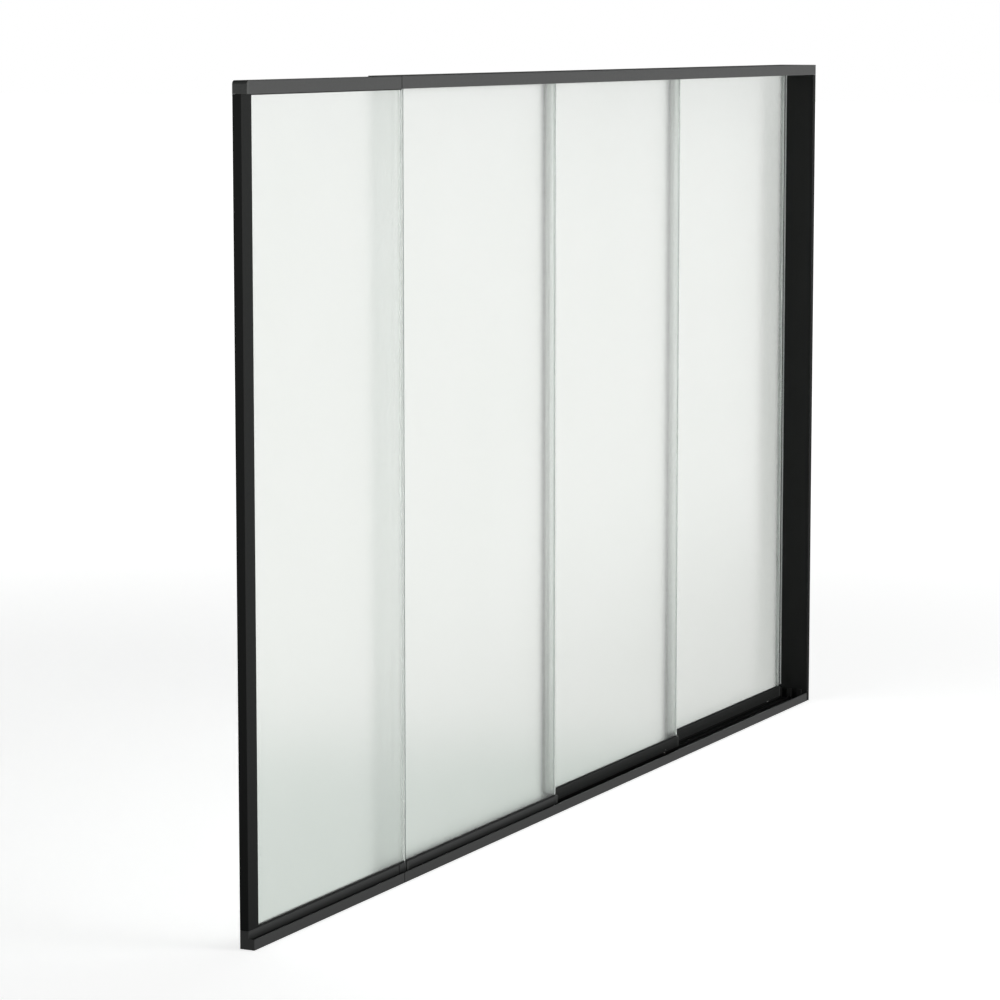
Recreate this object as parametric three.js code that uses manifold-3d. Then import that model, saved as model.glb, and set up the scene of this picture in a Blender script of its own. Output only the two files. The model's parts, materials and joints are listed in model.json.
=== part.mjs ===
// A frosted glass sliding screen: one fixed pane beside three sliding panels in a slim metal frame.
// Millimetres, +Z up. Inside the assembly group x runs from the left end, y from the front face and
// z from the floor; the group then puts the origin at the middle of the bottom.
import * as THREE from 'three';
import { mergeVertices } from 'three/addons/utils/BufferGeometryUtils.js';
import Module from 'manifold-3d';

// ---- Driving dimensions ----
const overallWidth = 3700;
const overallHeight = 2096;
const overallDepth = 120;

const paneSectionEnd = 829;    // the fixed pane's channel ends here
const sideDepth = 40;
const mainStart = 832;         // the three tracks start here
const railJoint = 791;         // start of the main rails, which carry on a little past the tracks
const expansionGap = 3;        // open joint between the side and the main rails
const sideEnd = railJoint - expansionGap;

const trackCentres = [25, 60, 95];
const trackPitch = trackCentres[1] - trackCentres[0];
const glassThickness = 10;
const fitGap = 0.3;            // between pieces that touch

const plateThickness = 3;
const lipHeight = 27;
const rearLipHeight = 12;
const fasciaHeight = 32;
const fasciaBottom = overallHeight - fasciaHeight;
const topPlateBottom = overallHeight - plateThickness;
const ribHalfWidth = 2;
const ribTop = 12;
const trackPlateTop = 5;       // the ribs stand on a separate insert in the bottom rail
const stiffenerTop = 8;
const slotHalfWidth = 10;      // top rail, to the middle of a slot wall
const guideHalfWidth = 8.7;
const guideChannelHalfWidth = 5.8;

const jambThickness = 20;
const jambWall = 2.5;
const jambTop = fasciaBottom - fitGap;
const railEnd = overallWidth - jambThickness - fitGap;
const leftJambWidth = 49;
const closureWall = 3;
const endCapThickness = 2;
const spliceHalfLength = 40;
const spliceThickness = 4;

const shoeHalfWidth = 9;
const pocketHalfWidth = 6.5;
const shoeBottom = 14;
const shoeTop = 46;
const webBottom = 32;
const webTop = 35;
const capLength = 12;
const gasketOuter = 6.2;
const gasketInner = 5.3;
const gasketLip = 3.5;         // how far a gasket shows past its channel
const glassSeat = 2.6;         // web of the shoe to the glass
const glassTop = overallHeight - 15;

const rollerRadius = 11;
const treadRadius = 8;
const treadHalfWidth = 1.6;
const flangeHalfWidth = 2.6;
const rollerHalfWidth = 4;
const rollerBore = 2.8;
const axleRadius = 2.5;
const axleInset = 90;          // from each end of a panel
const axleHeight = ribTop + fitGap + treadRadius;

const sealBottom = shoeTop + gasketLip + 1;
const sealTop = fasciaBottom - 2;
const clipDepth = 6;           // how far an edge profile grips the glass
const clipOuter = 6.5;
const edgeInset = 1.7;         // web of an edge profile
const noseHalfWidth = 4;
const noseStep = 2;            // clip past the glass edge on the last panel
const wiperWidth = 7;
const brushDepth = 5.7;
const brushGap = 2.5;          // brush tip to the next panel's glass

const stopLength = 8.2;
const stopTop = 38;
const settingBlockTop = 8;
const settingBlockLength = 100;
const settingBlockPlaces = [['left', 200], ['right', 680]];
const overlap = 12;            // each panel behind the one in front of it

// Right-hand glass edges of the three sliding panels, front track first.
const panelRights = [1757, 2714, 3650];
const panelLefts = [mainStart + 2, panelRights[0] - overlap, panelRights[1] - overlap];
const paneLeft = 37;
const paneRight = paneSectionEnd - 4;

// ---- Materials ----
function material(color, roughness, metalness, opacity = 1) {
  return new THREE.MeshStandardMaterial({
    color, roughness, metalness, opacity, transparent: opacity < 1,
  });
}

const powderCoat = material(0x3a3d3b, 0.6, 0.3);
const blackCoat = material(0x161816, 0.55, 0.3);
const frostedGlass = material(0xe6ebe6, 0.7, 0.0, 0.85);
const blackRubber = material(0x121412, 0.8, 0.0);
const brushPile = material(0xaeb4ae, 0.95, 0.0);
const clearProfile = material(0xe0e8e2, 0.35, 0.0, 0.5);
const darkPlastic = material(0x2b2e2c, 0.55, 0.0);
const nylon = material(0xdcdad2, 0.5, 0.0);
const steel = material(0xb4b6b8, 0.3, 1.0);

// ---- Solid helpers ----
const wasm = await Module();
wasm.setup();

function toSolid(geometry) {
  const bare = geometry.index ? geometry.toNonIndexed() : geometry.clone();
  bare.deleteAttribute('normal');
  bare.deleteAttribute('uv');
  const merged = mergeVertices(bare, 1e-4);
  return new wasm.Manifold(new wasm.Mesh({
    numProp: 3,
    vertProperties: new Float32Array(merged.attributes.position.array),
    triVerts: new Uint32Array(merged.index.array),
  }));
}

function toGeometry(solid) {
  const mesh = solid.getMesh();
  const geometry = new THREE.BufferGeometry();
  geometry.setAttribute('position', new THREE.BufferAttribute(mesh.vertProperties, 3));
  geometry.setIndex(new THREE.BufferAttribute(mesh.triVerts, 1));
  geometry.computeVertexNormals();
  return geometry;
}

function join(...pieces) {
  return toGeometry(pieces.map(toSolid).reduce((sum, piece) => sum.add(piece)));
}

function cut(body, ...tools) {
  return toGeometry(tools.map(toSolid).reduce((rest, tool) => rest.subtract(tool), toSolid(body)));
}

function box([x0, x1], [y0, y1], [z0, z1]) {
  const geometry = new THREE.BoxGeometry(x1 - x0, y1 - y0, z1 - z0);
  return geometry.translate((x0 + x1) / 2, (y0 + y1) / 2, (z0 + z1) / 2);
}

function outline(points) {
  return new THREE.Shape(points.map(([u, v]) => new THREE.Vector2(u, v)));
}

function extrude(shape, from, to) {
  return new THREE.ExtrudeGeometry(shape, {
    depth: to - from, bevelEnabled: false, curveSegments: 6,
  }).translate(0, 0, from);
}

// A (y, z) outline pulled along x.
function extrudeAlongX(shape, [x0, x1]) {
  const turn = new THREE.Matrix4().makeBasis(
    new THREE.Vector3(0, 1, 0), new THREE.Vector3(0, 0, 1), new THREE.Vector3(1, 0, 0));
  return extrude(shape, x0, x1).applyMatrix4(turn);
}

// An (x, z) outline pulled along y.
function extrudeAlongY(shape, [y0, y1]) {
  const turn = new THREE.Matrix4().makeBasis(
    new THREE.Vector3(1, 0, 0), new THREE.Vector3(0, 0, 1), new THREE.Vector3(0, -1, 0));
  return extrude(shape, -y1, -y0).applyMatrix4(turn);
}

function cylinderAlongY(x, z, radius, [y0, y1], sides = 24) {
  const geometry = new THREE.CylinderGeometry(radius, radius, y1 - y0, sides);
  return geometry.translate(x, (y0 + y1) / 2, z);
}

// ---- Assembly ----
const root = new THREE.Group();
const assembly = new THREE.Group();
assembly.position.set(-overallWidth / 2, -overallDepth / 2, 0);
root.add(assembly);

function place(name, geometry, look) {
  const mesh = new THREE.Mesh(geometry, look);
  mesh.name = name;
  assembly.add(mesh);
}

// ---- Rails ----
function trackRib(centre, span) {
  const shape = new THREE.Shape();
  const shoulder = ribTop - ribHalfWidth;
  const foot = trackPlateTop - 1;
  shape.moveTo(centre - ribHalfWidth, foot);
  shape.lineTo(centre + ribHalfWidth, foot);
  shape.lineTo(centre + ribHalfWidth, shoulder);
  shape.absarc(centre, shoulder, ribHalfWidth, 0, Math.PI, false);
  return extrudeAlongX(shape, span);
}

function glazingWalls(span, heights) {
  const centre = trackCentres[0];
  return [-1, 1].map((side) => {
    const inner = centre + side * pocketHalfWidth;
    const outer = centre + side * shoeHalfWidth;
    return box(span, [Math.min(inner, outer), Math.max(inner, outer)], heights);
  });
}

// The fixed pane's section of the bottom rail: base, low front lip, rear wall and glazing channel.
function bottomPaneSection(span) {
  return [
    box(span, [0, sideDepth], [0, plateThickness]),
    box(span, [0, plateThickness], [0, lipHeight]),
    box(span, [sideDepth - plateThickness, sideDepth], [0, shoeTop]),
    ...glazingWalls(span, [1, shoeTop]),
  ];
}

function topPaneSection(span) {
  return [
    box(span, [0, sideDepth], [topPlateBottom, overallHeight]),
    box(span, [0, plateThickness], [fasciaBottom, overallHeight]),
    box(span, [sideDepth - plateThickness, sideDepth], [fasciaBottom, overallHeight]),
    ...glazingWalls(span, [fasciaBottom, overallHeight - 1]),
  ];
}

// Room for the rear closure, which stands between the rails.
function closureSeat(heights) {
  return box(
    [mainStart - 1, closureSpanX[1] + fitGap], [closureSpanY[0] - fitGap, overallDepth + 1], heights);
}

function bottomRailMain() {
  const span = [mainStart, railEnd];
  const rail = join(
    ...bottomPaneSection([railJoint, paneSectionEnd]),
    box([railJoint, mainStart + 1], [0, sideDepth], [0, plateThickness]),
    box([railJoint, mainStart + 1], [0, plateThickness], [0, lipHeight]),
    box(span, [0, overallDepth], [0, plateThickness]),
    box(span, [0, plateThickness], [0, lipHeight]),
    box(span, [overallDepth - plateThickness, overallDepth], [0, rearLipHeight]));
  return cut(rail, closureSeat([plateThickness, shoeTop + 1]));
}

// The running surface: a thin plate with three rounded ribs and a stiffener between each pair.
function bottomTrack() {
  const span = [mainStart + fitGap, railEnd];
  const halfPitch = trackPitch / 2;
  const stiffeners = trackCentres.slice(1).map((centre) => box(
    span, [centre - halfPitch - 1, centre - halfPitch + 1], [trackPlateTop - 1, stiffenerTop]));
  const track = join(
    box(span, [plateThickness + fitGap, overallDepth - plateThickness - fitGap],
      [plateThickness + fitGap, trackPlateTop]),
    ...trackCentres.map((centre) => trackRib(centre, span)),
    ...stiffeners);
  return cut(track, closureSeat([0, ribTop + 1]));
}

function bottomRailSide() {
  return join(...bottomPaneSection([endCapThickness + fitGap, sideEnd]));
}

function topRailMain() {
  const span = [mainStart, overallWidth - endCapThickness - fitGap];
  const slotWalls = trackCentres.flatMap((centre) => [-slotHalfWidth, slotHalfWidth].map(
    (offset) => box(span, [centre + offset - 1, centre + offset + 1],
      [fasciaBottom + 2, overallHeight - 1])));
  const rail = join(
    ...topPaneSection([railJoint, paneSectionEnd]),
    box([railJoint, mainStart + 1], [0, sideDepth], [topPlateBottom, overallHeight]),
    box([railJoint, mainStart + 1], [0, plateThickness], [fasciaBottom, overallHeight]),
    box(span, [0, overallDepth], [topPlateBottom, overallHeight]),
    box(span, [0, plateThickness], [fasciaBottom, overallHeight]),
    box(span, [overallDepth - plateThickness, overallDepth], [fasciaBottom, overallHeight]),
    ...slotWalls);
  return cut(rail, closureSeat([fasciaBottom - 1, topPlateBottom]));
}

function topRailSide() {
  return join(...topPaneSection([capLength + fitGap, sideEnd]));
}

// ---- Uprights ----
const closureSpanX = [mainStart + fitGap, mainStart + jambThickness];
const closureSpanY = [38, overallDepth];

function hollowUpright(spanX, spanY, spanZ, wall) {
  return cut(
    box(spanX, spanY, spanZ),
    box([spanX[0] + wall, spanX[1] - wall], [spanY[0] + wall, spanY[1] - wall],
      [spanZ[0] - 1, spanZ[1] + 1]));
}

function leftJamb() {
  const spanY = [trackCentres[0] - shoeHalfWidth, sideDepth];
  const spanZ = [shoeTop + fitGap, jambTop];
  const chamberEnd = paneLeft - 9;
  const body = hollowUpright([0, chamberEnd], spanY, spanZ, jambWall);
  const glassChannel = cut(
    box([chamberEnd - 1, leftJambWidth], spanY, spanZ),
    box([paneLeft - 3, leftJambWidth + 1],
      [trackCentres[0] - pocketHalfWidth, trackCentres[0] + pocketHalfWidth],
      [spanZ[0] - 1, spanZ[1] + 1]));
  return join(body, glassChannel);
}

// A translucent channel that closes the left end of the middle and the rear track.
function rearClosure() {
  const spanZ = [plateThickness + fitGap, topPlateBottom - fitGap];
  return cut(
    box(closureSpanX, closureSpanY, spanZ),
    box([closureSpanX[0] + closureWall, closureSpanX[1] + 1],
      [closureSpanY[0] + closureWall, closureSpanY[1] - closureWall],
      [spanZ[0] - 1, spanZ[1] + 1]));
}

// ---- End caps, splice plates and stops ----
function bottomEndCap() {
  const beadFront = trackCentres[0] - shoeHalfWidth;
  return extrudeAlongX(outline([
    [0, 0], [sideDepth, 0], [sideDepth, shoeTop], [beadFront, shoeTop], [beadFront, lipHeight],
    [0, lipHeight],
  ]), [0, endCapThickness]);
}

// The upper end cap is a moulded block whose outer top edge is rounded.
function topEndCapLeft() {
  const radius = capLength - endCapThickness;
  const shape = new THREE.Shape();
  shape.moveTo(0, fasciaBottom);
  shape.lineTo(capLength, fasciaBottom);
  shape.lineTo(capLength, overallHeight);
  shape.lineTo(radius, overallHeight);
  shape.absarc(radius, overallHeight - radius, radius, Math.PI / 2, Math.PI, false);
  return extrudeAlongY(shape, [0, sideDepth]);
}

function splicePlate(bottom) {
  const middle = railJoint - expansionGap / 2;
  return box([middle - spliceHalfLength, middle + spliceHalfLength], [5, 14],
    [bottom, bottom + spliceThickness]);
}

function endStop(centre) {
  const span = [railEnd - stopLength, railEnd];
  const reliefHalfWidth = ribHalfWidth + 0.5;
  return cut(
    box(span, [centre - 8, centre + 8], [trackPlateTop + fitGap, stopTop]),
    box([span[0] - 1, span[1] + 1], [centre - reliefHalfWidth, centre + reliefHalfWidth],
      [0, ribTop + 0.5]));
}

function topGuide(centre, start) {
  const span = [start, overallWidth - 4];
  return cut(
    box(span, [centre - guideHalfWidth, centre + guideHalfWidth],
      [fasciaBottom + 0.5, topPlateBottom - fitGap]),
    box([span[0] - 1, span[1] + 1],
      [centre - guideChannelHalfWidth, centre + guideChannelHalfWidth],
      [fasciaBottom - 1, topPlateBottom - 4]));
}

// ---- Glass and its seals ----
function glass(centre, [x0, x1], [z0, z1]) {
  const half = glassThickness / 2;
  return box([x0, x1], [centre - half, centre + half], [z0, z1]);
}

// A U-shaped gasket along x that wraps the lower edge of the glass, or the upper one when flipped.
function edgeGasket(centre, span, baseFace, lipFace) {
  const inward = Math.sign(lipFace - baseFace);
  const channelFloor = baseFace + inward;
  const past = lipFace + inward;
  return cut(
    box(span, [centre - gasketOuter, centre + gasketOuter],
      [Math.min(baseFace, lipFace), Math.max(baseFace, lipFace)]),
    box([span[0] - 1, span[1] + 1], [centre - gasketInner, centre + gasketInner],
      [Math.min(channelFloor, past), Math.max(channelFloor, past)]));
}

function jambGasket() {
  const centre = trackCentres[0];
  const heights = [shoeTop + gasketLip + 1, jambTop - gasketLip - 1];
  return cut(
    box([paneLeft - 2, leftJambWidth + 2], [centre - gasketOuter, centre + gasketOuter], heights),
    box([paneLeft - 1, leftJambWidth + 3], [centre - gasketInner, centre + gasketInner],
      [heights[0] - 1, heights[1] + 1]));
}

// ---- Sliding panels ----
function shoe(centre, [x0, x1]) {
  const profile = outline([
    [centre - shoeHalfWidth, shoeBottom], [centre - pocketHalfWidth, shoeBottom],
    [centre - pocketHalfWidth, webBottom], [centre + pocketHalfWidth, webBottom],
    [centre + pocketHalfWidth, shoeBottom], [centre + shoeHalfWidth, shoeBottom],
    [centre + shoeHalfWidth, shoeTop], [centre + pocketHalfWidth, shoeTop],
    [centre + pocketHalfWidth, webTop], [centre - pocketHalfWidth, webTop],
    [centre - pocketHalfWidth, shoeTop], [centre - shoeHalfWidth, shoeTop],
  ]);
  const holes = axlePlaces([x0 - capLength, x1]).map((x) => cylinderAlongY(
    x, axleHeight, rollerBore, [centre - shoeHalfWidth - 1, centre + shoeHalfWidth + 1]));
  return cut(extrudeAlongX(profile, [x0, x1]), ...holes);
}

function axlePlaces([x0, x1]) {
  return [x0 + axleInset, x1 - axleInset];
}

function leftShoeCap(centre, x0) {
  const span = [x0, x0 + capLength - fitGap];
  return cut(
    box(span, [centre - shoeHalfWidth, centre + shoeHalfWidth], [shoeBottom, shoeTop]),
    box([span[0] - 1, span[1] + 1], [centre - pocketHalfWidth, centre + pocketHalfWidth],
      [webTop, shoeTop + 1]));
}

// The exposed cap is rounded on its two outer corners, seen from above.
function rightShoeCap(centre, x1) {
  const radius = 4;
  const start = x1 + fitGap;
  const end = x1 + capLength;
  const front = centre - shoeHalfWidth;
  const back = centre + shoeHalfWidth;
  const shape = new THREE.Shape();
  shape.moveTo(start, front);
  shape.lineTo(end - radius, front);
  shape.absarc(end - radius, front + radius, radius, -Math.PI / 2, 0, false);
  shape.lineTo(end, back - radius);
  shape.absarc(end - radius, back - radius, radius, 0, Math.PI / 2, false);
  shape.lineTo(start, back);
  return extrude(shape, shoeBottom, shoeTop);
}

function roller() {
  const profile = [
    [rollerBore, -rollerHalfWidth], [rollerRadius, -rollerHalfWidth],
    [rollerRadius, -flangeHalfWidth], [treadRadius, -treadHalfWidth],
    [treadRadius, treadHalfWidth], [rollerRadius, flangeHalfWidth],
    [rollerRadius, rollerHalfWidth], [rollerBore, rollerHalfWidth],
    [rollerBore, -rollerHalfWidth],
  ];
  return new THREE.LatheGeometry(profile.map(([r, y]) => new THREE.Vector2(r, y)), 32);
}

// Edge profile of panels 2 and 3: a clip over the glass edge with a fin towards the next panel.
function interlock(centre, x1) {
  const finEnd = centre + trackPitch - glassThickness / 2 - brushGap - brushDepth - fitGap;
  return extrude(outline([
    [x1 - clipDepth, centre - clipOuter], [x1, centre - clipOuter], [x1, finEnd],
    [x1 - 2, finEnd], [x1 - 2, centre + clipOuter], [x1 - clipDepth, centre + clipOuter],
    [x1 - clipDepth, centre + gasketInner], [x1 - edgeInset, centre + gasketInner],
    [x1 - edgeInset, centre - gasketInner], [x1 - clipDepth, centre - gasketInner],
  ]), sealBottom, sealTop);
}

function draftBrush(centre, x1) {
  const tip = centre + trackPitch - glassThickness / 2 - brushGap;
  return box([x1 - 3.5, x1 + 1.5], [tip - brushDepth, tip], [sealBottom, sealTop]);
}

// Edge profile of the last panel: the same clip with a solid nose that meets the jamb.
function noseProfile(centre, x1) {
  const clipEnd = x1 + noseStep;
  const nose = overallWidth - jambThickness - 2;
  return extrude(outline([
    [x1 - clipDepth, centre - clipOuter], [clipEnd, centre - clipOuter],
    [clipEnd, centre - noseHalfWidth], [nose, centre - noseHalfWidth],
    [nose, centre + noseHalfWidth], [clipEnd, centre + noseHalfWidth],
    [clipEnd, centre + clipOuter], [x1 - clipDepth, centre + clipOuter],
    [x1 - clipDepth, centre + gasketInner], [x1 + fitGap, centre + gasketInner],
    [x1 + fitGap, centre - gasketInner], [x1 - clipDepth, centre - gasketInner],
  ]), sealBottom, sealTop);
}

// A dark lip that lies in the step between the clip and the nose.
function wiper(centre, x1) {
  const left = x1 + noseStep + fitGap;
  return box([left, left + wiperWidth], [centre - clipOuter, centre - noseHalfWidth - fitGap],
    [sealBottom, sealTop]);
}

function addRollers(name, centre, span) {
  axlePlaces(span).forEach((x, index) => {
    const side = index === 0 ? 'left' : 'right';
    const wheel = roller().translate(x, centre, axleHeight);
    const pin = cylinderAlongY(
      x, axleHeight, axleRadius, [centre - shoeHalfWidth + fitGap, centre + shoeHalfWidth - fitGap]);
    place(`${name}_roller_${side}`, wheel, nylon);
    place(`${name}_axle_${side}`, pin, steel);
  });
}

function addSlidingPanel(index) {
  const name = `panel_${index + 2}`;
  const centre = trackCentres[index];
  const span = [panelLefts[index], panelRights[index]];
  const isLast = index === trackCentres.length - 1;
  const glassRight = isLast ? span[1] : span[1] - 2;
  const shoeSpan = [span[0] + capLength, span[1]];
  place(`${name}_glass`, glass(centre, [span[0], glassRight], [webTop + glassSeat, glassTop]),
    frostedGlass);
  place(`${name}_gasket`, edgeGasket(centre, span, webTop + fitGap, shoeTop + gasketLip),
    blackRubber);
  place(`${name}_shoe`, shoe(centre, shoeSpan), powderCoat);
  place(`${name}_cap_left`, leftShoeCap(centre, span[0]), darkPlastic);
  place(`${name}_cap_right`, rightShoeCap(centre, span[1]), darkPlastic);
  addRollers(name, centre, span);
  if (isLast) {
    place(`${name}_nose_profile`, noseProfile(centre, span[1]), clearProfile);
    place(`${name}_wiper`, wiper(centre, span[1]), blackRubber);
  } else {
    place(`${name}_interlock`, interlock(centre, span[1]), clearProfile);
    place(`${name}_draft_brush`, draftBrush(centre, span[1]), brushPile);
  }
}

// ---- Fixed pane ----
function addFixedPane() {
  const centre = trackCentres[0];
  const gasketBase = settingBlockTop + fitGap;
  place('pane_1_glass',
    glass(centre, [paneLeft, paneRight], [gasketBase + 1 + fitGap, glassTop]), frostedGlass);
  place('pane_1_gasket_bottom',
    edgeGasket(centre, [leftJambWidth, paneRight], gasketBase, shoeTop + gasketLip),
    blackRubber);
  place('pane_1_gasket_top',
    edgeGasket(centre, [leftJambWidth, paneRight], glassTop + 4, fasciaBottom - gasketLip),
    blackRubber);
  place('pane_1_gasket_left', jambGasket(), blackRubber);
  const halfBlock = settingBlockLength / 2;
  settingBlockPlaces.forEach(([side, middle]) => place(
    `pane_1_setting_block_${side}`,
    box([middle - halfBlock, middle + halfBlock], [centre - 5.5, centre + 5.5],
      [plateThickness + fitGap, settingBlockTop]), darkPlastic));
  const halfGlass = glassThickness / 2;
  place('seam_seal', box([paneRight + fitGap, mainStart - 0.5],
    [centre - halfGlass, centre + halfGlass], [shoeTop + fitGap, jambTop]), clearProfile);
}

function addFrame() {
  const jambStart = overallWidth - jambThickness;
  place('bottom_rail_main', bottomRailMain(), powderCoat);
  place('bottom_rail_side', bottomRailSide(), powderCoat);
  place('bottom_track', bottomTrack(), blackCoat);
  place('top_rail_main', topRailMain(), powderCoat);
  place('top_rail_side', topRailSide(), powderCoat);
  place('left_jamb', leftJamb(), blackCoat);
  place('right_jamb', hollowUpright(
    [jambStart, overallWidth], [0, overallDepth], [0, jambTop], jambWall), blackCoat);
  place('rear_closure', rearClosure(), clearProfile);
  place('bottom_end_cap_left', bottomEndCap(), darkPlastic);
  place('top_end_cap_left', topEndCapLeft(), darkPlastic);
  place('top_end_cap_right', box(
    [overallWidth - endCapThickness, overallWidth], [0, overallDepth],
    [fasciaBottom, overallHeight]),
    darkPlastic);
  place('bottom_splice_plate', splicePlate(plateThickness + fitGap), steel);
  place('top_splice_plate', splicePlate(topPlateBottom - fitGap - spliceThickness), steel);
  ['front', 'middle', 'rear'].forEach((track, index) => {
    const start = index === 0 ? mainStart + fitGap : closureSpanX[1] + 2 * fitGap;
    place(`end_stop_${track}`, endStop(trackCentres[index]), blackRubber);
    place(`top_guide_${track}`, topGuide(trackCentres[index], start), darkPlastic);
  });
}

addFrame();
addFixedPane();
trackCentres.forEach((centre, index) => addSlidingPanel(index));

export default root;
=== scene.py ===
"""Looks for the sliding glass screen: powder-coated frame, frosted panes, seals, rollers and fixings."""
import json
import math

import bmesh
import bpy
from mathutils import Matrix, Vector


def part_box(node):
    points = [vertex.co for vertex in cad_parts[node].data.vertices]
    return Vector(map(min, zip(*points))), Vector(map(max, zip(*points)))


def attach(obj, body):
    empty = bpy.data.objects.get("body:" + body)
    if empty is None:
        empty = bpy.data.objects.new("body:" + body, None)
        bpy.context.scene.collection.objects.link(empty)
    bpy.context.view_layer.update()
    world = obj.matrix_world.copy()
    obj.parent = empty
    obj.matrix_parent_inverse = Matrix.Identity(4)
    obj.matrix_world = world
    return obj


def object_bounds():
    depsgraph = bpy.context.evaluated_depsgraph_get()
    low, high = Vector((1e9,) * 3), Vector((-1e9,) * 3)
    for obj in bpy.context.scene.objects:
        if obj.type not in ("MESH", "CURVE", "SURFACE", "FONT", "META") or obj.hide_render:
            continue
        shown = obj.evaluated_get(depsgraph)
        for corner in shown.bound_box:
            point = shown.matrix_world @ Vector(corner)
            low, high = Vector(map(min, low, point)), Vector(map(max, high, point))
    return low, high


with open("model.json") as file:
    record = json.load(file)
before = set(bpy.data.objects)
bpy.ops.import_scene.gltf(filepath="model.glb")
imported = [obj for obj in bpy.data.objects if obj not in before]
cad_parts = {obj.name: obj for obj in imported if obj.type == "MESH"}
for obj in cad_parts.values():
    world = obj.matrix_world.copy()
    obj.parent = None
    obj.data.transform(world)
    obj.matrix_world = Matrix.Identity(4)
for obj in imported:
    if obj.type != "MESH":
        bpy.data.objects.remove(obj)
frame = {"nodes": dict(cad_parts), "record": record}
cad_low, cad_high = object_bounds()

# Lengths are in metres and angles in degrees, unless a comment says otherwise.

# ---- Camera: looks along the screen from its left front ----
CAMERA_AZIMUTH = -64.01
CAMERA_ELEVATION = 7.40
CAMERA_DISTANCE = 9.968
CAMERA_TARGET = Vector((-0.492, cad_low.y, 0.45 * cad_high.z))
CAMERA_LENS = 131.9             # millimetres
CAMERA_REACH = 400

# ---- Light and sky ----
LIGHT_PLACE = Vector((0.4, -6.5, 1.7))
LIGHT_TARGET = Vector((0.0, 0.0, 1.2))
LIGHT_SIZE = (3.6, 2.2)
LIGHT_POWER = 250               # watts
SKY_SEEN = 1.0                  # the sky as the camera sees it, directly or through glass
SKY_FILL = 0.13                 # and as everything else sees it

# ---- Floor ----
FLOOR_REACH = 90                # from the middle to each side
FLOOR_DROP = 0.0005             # below the screen's underside
GLOW = (0.74, 1.05)             # what the camera sees, near the screen and far from it
GLOW_SPAN = (2.0, 9.0)
PAINTED_BOUNCE = (0.42, 1.45)           # painted bounce light: the floor glows this bright for every ray but the camera's, darker beside the screen as painted shade and brighter away from it
PAINTED_BOUNCE_SPAN = (0.1, 2.5)
PAINTED_BOUNCE_SHARE = (0.90, 1.0)      # how much of that painted glow, from the left end of the screen to the right: a little painted shade on the left
PAINTED_BOUNCE_SHARE_SPAN = (-2.5, 1.5)
THROUGH_PAINTED_SHADE = (0.72, 0.765, 0.73)      # the floor's painted glow as seen through glass, beside the screen: darker as painted shade for the screen's shadow on the floor behind it
THROUGH_FAR = (0.895, 0.90, 0.88)       # and away from it, along this direction or its mirror
THROUGH_AZIMUTH = 116.0
THROUGH_SPAN = (0.3, 1.65)

# ---- Finish of the edges ----
WELD_REACH = 0.00002
EDGE_WIDTHS = {"frosted_glass": 0.0010, "powder_coat": 0.0005, "black_coat": 0.0005,
               "clear_profile": 0.0003}
OTHER_EDGE_WIDTH = 0.0004
EDGE_SEGMENTS = 2
EDGE_ANGLE = 40                 # sharper corners than this are rounded

# ---- Edge seals: thin black channels on the left glass edge of these panels ----
EDGE_SEAL_PANELS = ("panel_3", "panel_4")
EDGE_SEAL_WALL = 0.0009
EDGE_SEAL_GRIP = 0.0025
EDGE_SEAL_START = 0.001         # above the glass gasket
EDGE_SEAL_EDGE_WIDTH = 0.0003


# ---- Camera, light and sky ----
def direction(azimuth, elevation):
    """Unit vector from the object towards a place at that azimuth and elevation, in degrees."""
    a, e = math.radians(azimuth), math.radians(elevation)
    return Vector((math.sin(a) * math.cos(e), -math.cos(a) * math.cos(e), math.sin(e)))


def rgba(red, green, blue):
    return (red, green, blue, 1.0)


def make_camera():
    data = bpy.data.cameras.new("camera")
    data.lens = CAMERA_LENS
    data.clip_end = CAMERA_REACH
    camera = bpy.data.objects.new("camera", data)
    bpy.context.scene.collection.objects.link(camera)
    back = direction(CAMERA_AZIMUTH, CAMERA_ELEVATION)
    camera.location = CAMERA_TARGET + back * CAMERA_DISTANCE
    camera.rotation_euler = (-back).to_track_quat("-Z", "Y").to_euler()
    bpy.context.scene.camera = camera


def make_light():
    """One large soft light in front of the screen."""
    data = bpy.data.lights.new("front", "AREA")
    data.shape = "RECTANGLE"
    data.size, data.size_y = LIGHT_SIZE
    data.energy = LIGHT_POWER
    light = bpy.data.objects.new("front", data)
    bpy.context.scene.collection.objects.link(light)
    light.location = LIGHT_PLACE
    light.rotation_euler = (LIGHT_PLACE - LIGHT_TARGET).to_track_quat("Z", "Y").to_euler()


def make_world():
    """White for what the camera sees, directly or through glass, and a dark grey as fill light."""
    world = bpy.data.worlds.new("studio")
    bpy.context.scene.world = world
    world.use_nodes = True
    tree = world.node_tree
    tree.nodes.clear()
    path = tree.nodes.new("ShaderNodeLightPath")
    seen = tree.nodes.new("ShaderNodeMath")
    seen.operation = "MAXIMUM"
    tree.links.new(path.outputs["Is Camera Ray"], seen.inputs[0])
    tree.links.new(path.outputs["Is Transmission Ray"], seen.inputs[1])
    shown = tree.nodes.new("ShaderNodeBackground")
    shown.inputs["Strength"].default_value = SKY_SEEN
    shown.inputs["Color"].default_value = rgba(1.0, 1.0, 1.0)
    fill = tree.nodes.new("ShaderNodeBackground")
    fill.inputs["Color"].default_value = rgba(0.96, 1.0, 0.98)
    fill.inputs["Strength"].default_value = SKY_FILL
    mix = tree.nodes.new("ShaderNodeMixShader")
    tree.links.new(seen.outputs[0], mix.inputs["Fac"])
    tree.links.new(fill.outputs[0], mix.inputs[1])
    tree.links.new(shown.outputs[0], mix.inputs[2])
    out = tree.nodes.new("ShaderNodeOutputWorld")
    tree.links.new(mix.outputs[0], out.inputs["Surface"])


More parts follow.
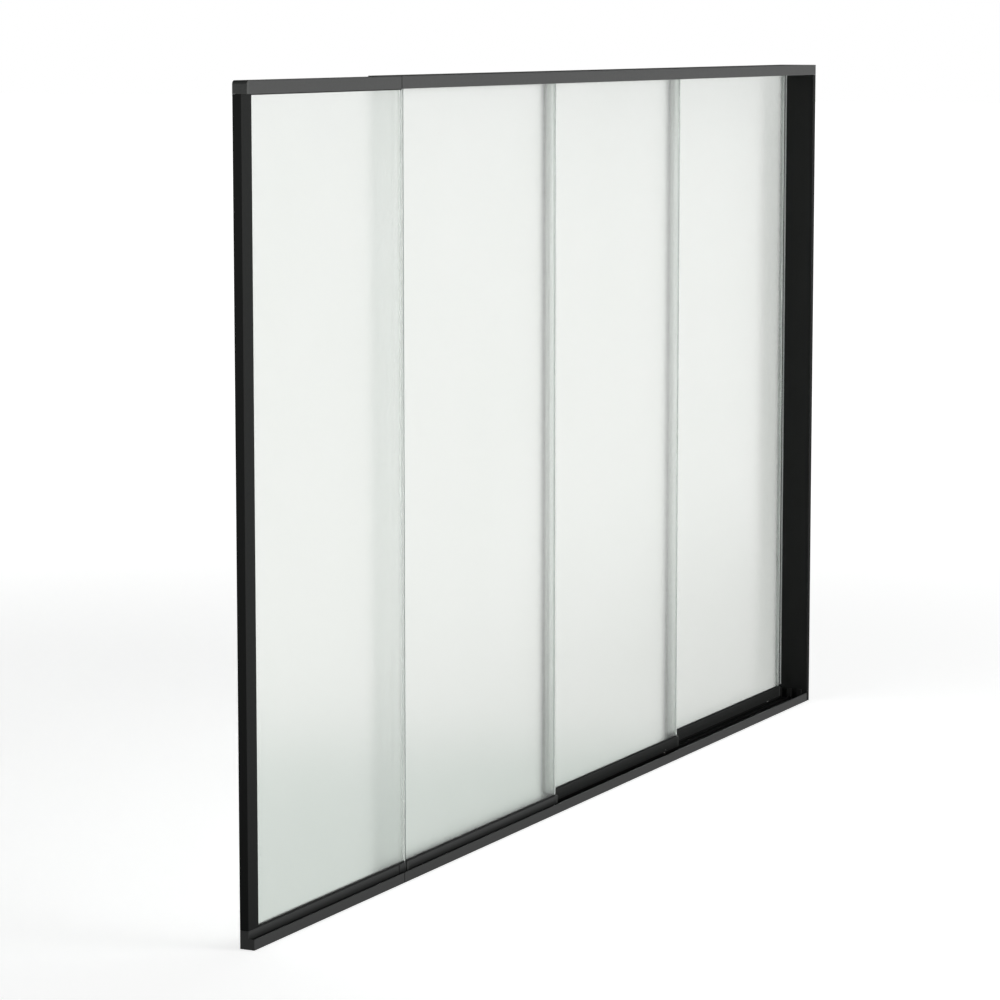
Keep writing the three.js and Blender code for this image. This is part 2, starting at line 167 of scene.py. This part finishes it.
# ---- Material building blocks ----
class Shader:
    """A principled material with a few short ways to wire procedural detail into it.

    values set sockets of the shader, named with _ for each space.
    """

    def __init__(self, name, **values):
        self.material = bpy.data.materials.new(name)
        self.material.use_nodes = True
        self.tree = self.material.node_tree
        self.main = self.tree.nodes["Principled BSDF"]
        for socket, value in values.items():
            self.set(socket.replace("_", " "), value)
        self.place = self.add("ShaderNodeTexCoord").outputs["Object"]

    def set(self, socket, value):
        self.main.inputs[socket].default_value = value

    def add(self, kind, **settings):
        node = self.tree.nodes.new(kind)
        for key, value in settings.items():
            setattr(node, key, value)
        return node

    def link(self, source, target):
        self.tree.links.new(source, target)

    def noise(self, scale, detail=3.0, stretch=(1, 1, 1)):
        """Noise from 0 to 1. A stretch below 1 draws it out along that axis."""
        node = self.add("ShaderNodeTexNoise")
        node.inputs["Scale"].default_value = scale
        node.inputs["Detail"].default_value = detail
        mapping = self.add("ShaderNodeMapping")
        mapping.inputs["Scale"].default_value = stretch
        self.link(self.place, mapping.inputs["Vector"])
        self.link(mapping.outputs["Vector"], node.inputs["Vector"])
        return node.outputs["Fac"]

    def ramp(self, source, low, high, dark, light):
        """Maps source from low..high to the two values or colours."""
        node = self.add("ShaderNodeValToRGB")
        colours = [rgba(v, v, v) if isinstance(v, float) else v for v in (dark, light)]
        for element, place, colour in zip(node.color_ramp.elements, (low, high), colours):
            element.position = place
            element.color = colour
        self.link(source, node.inputs["Fac"])
        return node.outputs["Color"]

    def grain(self, dark, light, scale, detail=3.0, stretch=(1, 1, 1)):
        """Noise spread over two values or colours."""
        return self.ramp(self.noise(scale, detail, stretch), 0.3, 0.7, dark, light)

    def fade(self, source, span, values):
        """Smoothly from the first value to the second as source crosses span."""
        node = self.add("ShaderNodeMapRange", interpolation_type="SMOOTHSTEP")
        self.link(source, node.inputs["Value"])
        node.inputs["From Min"].default_value, node.inputs["From Max"].default_value = span
        node.inputs["To Min"].default_value, node.inputs["To Max"].default_value = values
        return node.outputs[0]

    def mix(self, factor, first, second):
        """From the first colour to the second; each may be a colour or another node's output."""
        node = self.add("ShaderNodeMix", data_type="RGBA")
        self.link(factor, node.inputs["Factor"])
        for socket, value in zip((node.inputs[6], node.inputs[7]), (first, second)):
            if isinstance(value, tuple):
                socket.default_value = value
            else:
                self.link(value, socket)
        return node.outputs[2]

    def bump(self, *layers):
        """Stacks bump layers given as (height, strength, distance)."""
        normal = None
        for height, strength, distance in layers:
            node = self.add("ShaderNodeBump")
            node.inputs["Strength"].default_value = strength
            node.inputs["Distance"].default_value = distance
            self.link(height, node.inputs["Height"])
            if normal is not None:
                self.link(normal, node.inputs["Normal"])
            normal = node.outputs["Normal"]
        self.link(normal, self.main.inputs["Normal"])

    def upward(self, low, high):
        """0 to 1 as the surface turns to face up."""
        split = self.add("ShaderNodeSeparateXYZ")
        self.link(self.add("ShaderNodeNewGeometry").outputs["Normal"], split.inputs[0])
        return self.ramp(split.outputs["Z"], low, high, 0.0, 1.0)


# ---- Materials ----
def coat(name, tones, dust_share, gloss, roughness):
    """Fine-structure powder coat: a speckled tone, a fine grain and a trace of dust on what faces up.

    tones are the base tone and the darker and lighter tone of the speckles.
    """
    base, speck_low, speck_high = (rgba(tone, tone * 1.05, tone * 1.02) for tone in tones)
    s = Shader(name, Specular_IOR_Level=gloss)
    speck = s.grain(speck_low, speck_high, 1400.0, 2.0)
    tone = s.mix(s.ramp(s.noise(3.0), 0.35, 0.65, 0.2, 0.6), speck, base)
    dust = s.add("ShaderNodeMath", operation="MULTIPLY")
    s.link(s.upward(0.6, 0.95), dust.inputs[0])
    s.link(s.ramp(s.noise(40.0, 6.0), 0.45, 0.75, 0.0, dust_share), dust.inputs[1])
    s.link(s.mix(dust.outputs[0], tone, rgba(0.30, 0.29, 0.27)), s.main.inputs["Base Color"])
    s.link(s.grain(*roughness, 260.0), s.main.inputs["Roughness"])
    s.bump((s.noise(900.0, 2.0), 0.10, 0.0006), (s.noise(120.0, 1.0), 0.05, 0.001))
    return s.material


def powder_coat():
    return coat("powder_coat", tones=(0.025, 0.021, 0.031), dust_share=0.06,
                gloss=0.5, roughness=(0.34, 0.42))


# A matt, darker copy of the powder coat: partly a real black finish on the jambs, partly painted shade
# where it lines the track channels.
def black_coat():
    return coat("black_coat", tones=(0.018, 0.015, 0.022), dust_share=0.02,
                gloss=0.05, roughness=(0.60, 0.70))


def frosted_glass():
    """Satin toughened glass: finely rough faces, ground greenish edges."""
    s = Shader("frosted_glass", IOR=1.45, Transmission_Weight=0.96)
    split = s.add("ShaderNodeSeparateXYZ")
    s.link(s.add("ShaderNodeNewGeometry").outputs["True Normal"], split.inputs[0])
    faces_y = s.add("ShaderNodeMath", operation="ABSOLUTE")
    s.link(split.outputs["Y"], faces_y.inputs[0])
    face = s.ramp(faces_y.outputs[0], 0.90, 0.96, 0.0, 1.0)
    haze = s.grain(rgba(0.925, 0.95, 0.93), rgba(0.94, 0.96, 0.945), 2.2, 4.0)
    s.link(s.mix(face, rgba(0.34, 0.46, 0.40), haze), s.main.inputs["Base Color"])
    satin = s.grain(0.17, 0.22, 1800.0)
    s.link(s.mix(face, rgba(0.30, 0.30, 0.30), satin), s.main.inputs["Roughness"])
    s.bump((s.noise(2600.0, 2.0), 0.06, 0.0002))
    return s.material


def clear_profile():
    """Clear, slightly milky extrusion with fine draw lines along its length."""
    s = Shader("clear_profile", IOR=1.3, Transmission_Weight=0.84)
    drawn = (1, 1, 0.0004)
    s.link(s.grain(rgba(0.955, 0.985, 0.965), rgba(0.98, 0.995, 0.985), 300.0, 2.0, drawn),
           s.main.inputs["Base Color"])
    s.link(s.grain(0.22, 0.32, 900.0, 2.0, drawn), s.main.inputs["Roughness"])
    s.bump((s.noise(1200.0, 1.0, drawn), 0.10, 0.0001))
    return s.material


def rubber():
    """Extruded black rubber, matt, with faint lines and a little bloom."""
    s = Shader("black_rubber", Specular_IOR_Level=0.35)
    bloom = s.ramp(s.noise(60.0, 5.0), 0.45, 0.75, rgba(0.010, 0.011, 0.010), rgba(0.020, 0.021, 0.020))
    s.link(bloom, s.main.inputs["Base Color"])
    s.link(s.grain(0.60, 0.78, 300.0), s.main.inputs["Roughness"])
    s.bump((s.noise(1500.0, 2.0), 0.15, 0.0004))
    return s.material


def moulded_plastic():
    """Spark-eroded anthracite plastic."""
    s = Shader("dark_plastic", Specular_IOR_Level=0.4)
    tone = s.grain(rgba(0.045, 0.048, 0.046), rgba(0.056, 0.058, 0.056), 500.0, 2.0)
    s.link(tone, s.main.inputs["Base Color"])
    s.link(s.grain(0.48, 0.60, 700.0), s.main.inputs["Roughness"])
    s.bump((s.noise(1600.0, 2.0), 0.2, 0.0003))
    return s.material


def brush_pile():
    """Dense light grey pile: short fibres pointing at the next panel."""
    s = Shader("brush_pile", Roughness=0.95)
    s.set("Sheen Weight", 0.3)
    strands = s.noise(2400.0, 2.0, (1, 0.06, 1))
    s.link(s.ramp(strands, 0.35, 0.65, rgba(0.34, 0.38, 0.35), rgba(0.58, 0.63, 0.59)),
           s.main.inputs["Base Color"])
    s.bump((strands, 0.6, 0.001))
    return s.material


def nylon():
    """Turned natural nylon with fine tool rings."""
    s = Shader("nylon", Subsurface_Weight=0.1, Subsurface_Scale=0.002)
    s.link(s.grain(rgba(0.66, 0.65, 0.60), rgba(0.72, 0.71, 0.66), 200.0), s.main.inputs["Base Color"])
    s.link(s.grain(0.38, 0.50, 900.0), s.main.inputs["Roughness"])
    s.bump((s.noise(2500.0, 1.0, (0.1, 1, 0.1)), 0.15, 0.0003))
    return s.material


def steel():
    """Drawn stainless bar."""
    s = Shader("steel", Metallic=1.0)
    s.link(s.grain(rgba(0.50, 0.51, 0.52), rgba(0.62, 0.63, 0.64), 300.0), s.main.inputs["Base Color"])
    s.link(s.grain(0.24, 0.40, 800.0, 2.0, (1, 0.05, 1)), s.main.inputs["Roughness"])
    s.bump((s.noise(2200.0, 1.0, (1, 0.03, 1)), 0.12, 0.0002))
    return s.material


def floor_material():
    """Pale plain floor: near white with soft shadows as the camera sees it; every other ray sees a
    painted glow instead, graded as painted bounce light and painted shade.

    The grading is the same in front of the screen and behind it.
    """
    s = Shader("floor", Roughness=0.85)
    s.set("Base Color", rgba(0.88, 0.88, 0.88))
    split = s.add("ShaderNodeSeparateXYZ")
    s.link(s.place, split.inputs[0])
    away = s.add("ShaderNodeMath", operation="ABSOLUTE")
    s.link(split.outputs["Y"], away.inputs[0])
    # Painted bounce light: the floor glows for every ray but the camera's, with painted shade beside the
    # screen and towards its left end.
    painted_bounce = s.add("ShaderNodeMath", operation="MULTIPLY")
    s.link(s.fade(away.outputs[0], PAINTED_BOUNCE_SPAN, PAINTED_BOUNCE), painted_bounce.inputs[0])
    s.link(s.fade(split.outputs["X"], PAINTED_BOUNCE_SHARE_SPAN, PAINTED_BOUNCE_SHARE), painted_bounce.inputs[1])
    same_both_sides = s.add("ShaderNodeCombineXYZ")
    s.link(split.outputs["X"], same_both_sides.inputs["X"])
    s.link(away.outputs[0], same_both_sides.inputs["Y"])
    along = s.add("ShaderNodeVectorMath", operation="DOT_PRODUCT")
    along.inputs[1].default_value = direction(THROUGH_AZIMUTH, 0)
    s.link(same_both_sides.outputs[0], along.inputs[0])
    # Seen through glass the floor is a painted glow, darker near the screen: painted shade for the
    # screen's shadow on the floor behind.
    reach = s.fade(along.outputs["Value"], THROUGH_SPAN, (0.0, 1.0))
    painted_through = s.mix(reach, rgba(*THROUGH_PAINTED_SHADE), rgba(*THROUGH_FAR))
    # Every ray but the camera's sees the floor as this painted glow instead of a lit floor.
    ray = s.add("ShaderNodeLightPath")
    painted_glow = s.add("ShaderNodeEmission")
    s.link(s.mix(ray.outputs["Is Transmission Ray"], painted_bounce.outputs[0], painted_through), painted_glow.inputs["Color"])
    distance = s.add("ShaderNodeVectorMath", operation="LENGTH")
    s.link(s.place, distance.inputs[0])
    s.set("Emission Color", rgba(1.0, 1.0, 1.0))
    s.link(s.fade(distance.outputs["Value"], GLOW_SPAN, GLOW), s.main.inputs["Emission Strength"])
    pick = s.add("ShaderNodeMixShader")
    s.link(ray.outputs["Is Camera Ray"], pick.inputs["Fac"])
    s.link(painted_glow.outputs[0], pick.inputs[1])
    s.link(s.main.outputs[0], pick.inputs[2])
    s.link(pick.outputs[0], s.tree.nodes["Material Output"].inputs["Surface"])
    return s.material


# ---- Finishing the CAD nodes ----
def soften(piece, width):
    """Small round edges and smooth curved faces."""
    piece.data.polygons.foreach_set("use_smooth", [True] * len(piece.data.polygons))
    bevel = piece.modifiers.new("edges", "BEVEL")
    bevel.width = width
    bevel.segments = EDGE_SEGMENTS
    bevel.limit_method = "ANGLE"
    bevel.angle_limit = math.radians(EDGE_ANGLE)
    even = piece.modifiers.new("even_shading", "WEIGHTED_NORMAL")
    even.keep_sharp = True


def dress_nodes(looks):
    """Gives every CAD node its slot's material, softened edges and smooth curved faces."""
    for entry in frame["record"]["subparts"]:
        piece = frame["nodes"][entry["node"]]
        slot = entry["material_slot"]
        piece.data.materials.clear()
        piece.data.materials.append(looks[slot])
        weld = piece.modifiers.new("weld", "WELD")
        weld.merge_threshold = WELD_REACH
        soften(piece, EDGE_WIDTHS.get(slot, OTHER_EDGE_WIDTH))


def make_floor():
    mesh = bpy.data.meshes.new("floor")
    shape = bmesh.new()
    bmesh.ops.create_grid(shape, x_segments=1, y_segments=1, size=FLOOR_REACH)
    shape.to_mesh(mesh)
    shape.free()
    floor = bpy.data.objects.new("floor", mesh)
    floor.location.z = cad_low.z - FLOOR_DROP
    mesh.materials.append(floor_material())
    bpy.context.scene.collection.objects.link(floor)


# ---- Extra pieces ----
def edge_seal(panel, look):
    """A thin black channel pushed over the left edge of a sliding panel's glass."""
    glass_low, glass_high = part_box(panel + "_glass")
    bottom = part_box(panel + "_gasket")[1].z + EDGE_SEAL_START
    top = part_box("panel_2_interlock")[1].z
    left = glass_low.x - EDGE_SEAL_WALL
    right = glass_low.x + EDGE_SEAL_GRIP
    front = glass_low.y - EDGE_SEAL_WALL
    back = glass_high.y + EDGE_SEAL_WALL
    ring = [(left, front), (right, front), (right, glass_low.y), (glass_low.x, glass_low.y),
            (glass_low.x, glass_high.y), (right, glass_high.y), (right, back), (left, back)]
    shape = bmesh.new()
    face = shape.faces.new([shape.verts.new((x, y, bottom)) for x, y in ring])
    raised = bmesh.ops.extrude_face_region(shape, geom=[face])
    raised_corners = [part for part in raised["geom"] if isinstance(part, bmesh.types.BMVert)]
    bmesh.ops.translate(shape, verts=raised_corners, vec=(0, 0, top - bottom))
    bmesh.ops.recalc_face_normals(shape, faces=shape.faces)
    mesh = bpy.data.meshes.new(panel + "_edge_seal")
    shape.to_mesh(mesh)
    shape.free()
    piece = bpy.data.objects.new(panel + "_edge_seal", mesh)
    bpy.context.scene.collection.objects.link(piece)
    mesh.materials.append(look)
    soften(piece, EDGE_SEAL_EDGE_WIDTH)
    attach(piece, panel)


# ---- The scene ----
looks = {
    "powder_coat": powder_coat(),
    "black_coat": black_coat(),
    "frosted_glass": frosted_glass(),
    "clear_profile": clear_profile(),
    "black_rubber": rubber(),
    "dark_plastic": moulded_plastic(),
    "brush_pile": brush_pile(),
    "nylon": nylon(),
    "steel": steel(),
}
bpy.context.scene.view_settings.view_transform = "Standard"
make_camera()
make_light()
make_world()
make_floor()
dress_nodes(looks)
for panel in EDGE_SEAL_PANELS:
    edge_seal(panel, looks["black_rubber"])
